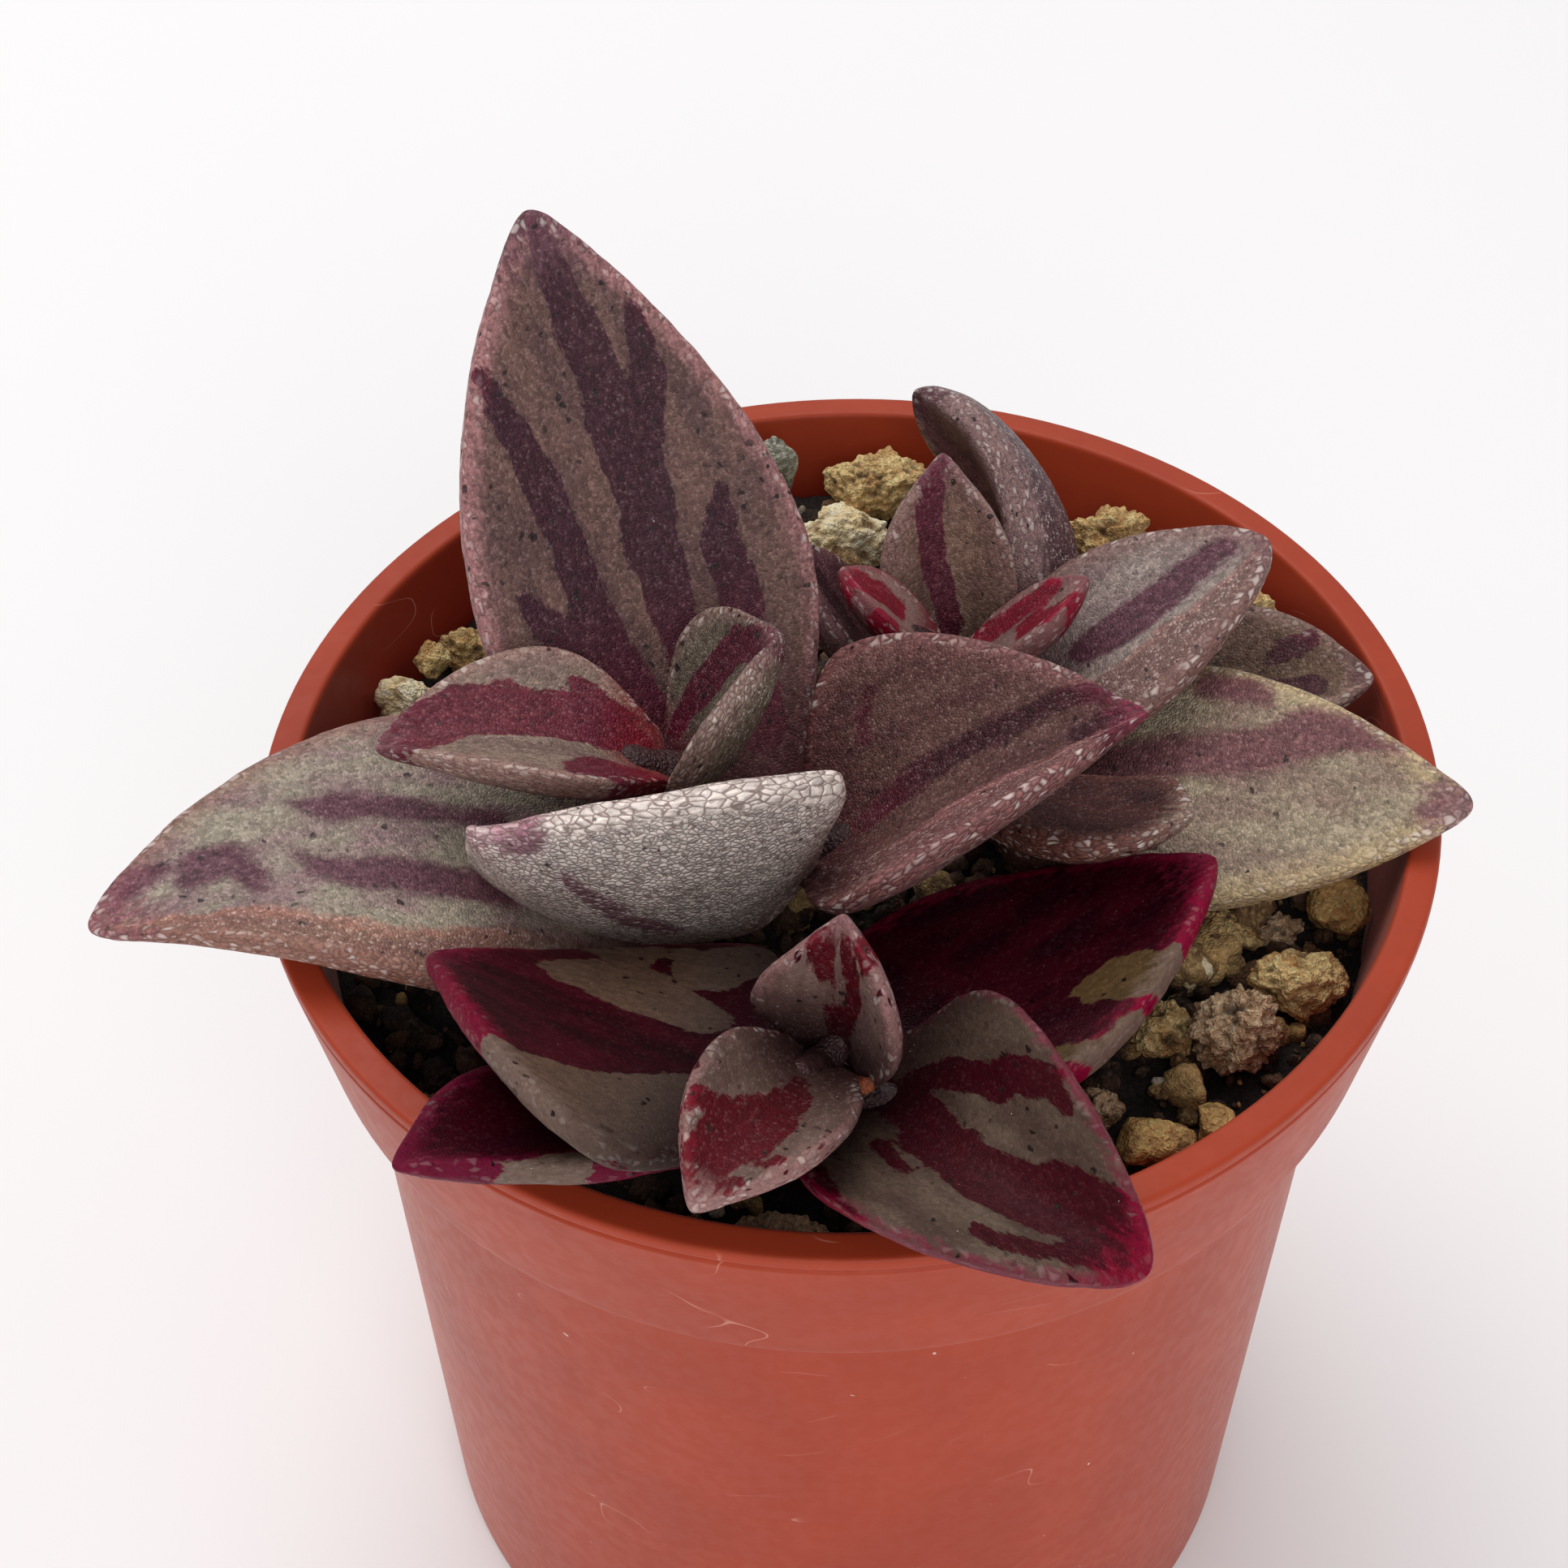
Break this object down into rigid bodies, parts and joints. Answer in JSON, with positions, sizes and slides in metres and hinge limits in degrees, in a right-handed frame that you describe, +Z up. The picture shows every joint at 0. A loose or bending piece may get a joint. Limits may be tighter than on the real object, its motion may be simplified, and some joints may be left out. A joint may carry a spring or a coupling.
{
  "type": "potted variegated lenophyllum guttatum",
  "caption": "Small round plastic nursery pot of gritty soil with low rosettes of thick, channelled, purple-striped succulent leaves that spread over the rim.",
  "frame": {"origin": "centre of the flat underside of the pot, on the surface it stands on", "axes": "+Z up along the pot's axis; +X to the right and -Y to the front as the picture is taken"},
  "size_m": [0.0593, 0.0607, 0.0704],
  "materials": {
    "pot": "semi-matte moulded plastic, terracotta orange",
    "aged_leaf": "waxy, finely pebbled skin, grey with purple stripes",
    "young_leaf": "smooth waxy skin, pale pink-grey with crimson stripes",
    "maroon_leaf": "glossy skin, deep maroon with crimson margins and grey patches",
    "stem": "dull fleshy stalk, brownish mauve",
    "dried": "dry papery stub, orange-brown",
    "soil": "crumbly gritty potting mix, near black-brown",
    "stone_gold": "rough golden grit",
    "stone_cream": "rough cream grit",
    "stone_grey": "smooth grey chip",
    "stone_ochre": "smooth ochre pebble",
    "stone_crumb": "crumbly beige aggregate"
  },
  "bodies": {
    "root": {"pot": "pot", "leaf_left_upright": "aged_leaf", "leaf_left_young_flat": "young_leaf", "leaf_left_young_upright": "young_leaf", "leaf_left_front": "aged_leaf", "leaf_left_channelled": "aged_leaf", "leaf_left_long": "aged_leaf", "leaf_front_young_rear": "young_leaf", "leaf_front_young_near": "young_leaf", "leaf_front_left": "maroon_leaf", "leaf_front_right": "maroon_leaf", "leaf_front_dark": "maroon_leaf", "leaf_front_low": "maroon_leaf", "leaf_rear_striped": "aged_leaf", "leaf_rear_young_left": "young_leaf", "leaf_rear_young_right": "young_leaf", "leaf_rear_right": "aged_leaf", "leaf_rear_hooked": "aged_leaf", "leaf_rear_purple": "aged_leaf", "leaf_rear_long": "aged_leaf", "leaf_rear_small": "aged_leaf", "leaf_low_upper": "aged_leaf", "leaf_low_lower": "aged_leaf", "dried_stub": "dried", "stone_gold_rear": "stone_gold", "stone_cream_rear": "stone_cream", "stone_grey_rear": "stone_grey", "stone_knob_rear": "stone_gold", "stone_right_rear": "stone_gold", "stone_olive_rear": "stone_cream", "stone_cream_left": "stone_cream", "stone_gold_left": "stone_gold", "stone_amber_left": "stone_gold", "stone_ochre_right": "stone_ochre", "stone_yellow_right": "stone_gold", "stone_crumb_right": "stone_crumb", "stone_amber_right": "stone_gold", "stone_pale_right": "stone_cream", "stone_flat_right": "stone_gold", "stone_rough_right": "stone_crumb", "stone_bean_front": "stone_ochre", "stone_chip_front": "stone_ochre", "stone_olive_front": "stone_crumb", "stone_slab_front": "stone_crumb", "stone_grey_front": "stone_grey", "stone_dark_front": "stone_crumb", "stem_left": "stem", "stem_front": "stem", "stem_rear": "stem", "stem_low": "stem", "soil": "soil"}
  },
  "joints": []
}
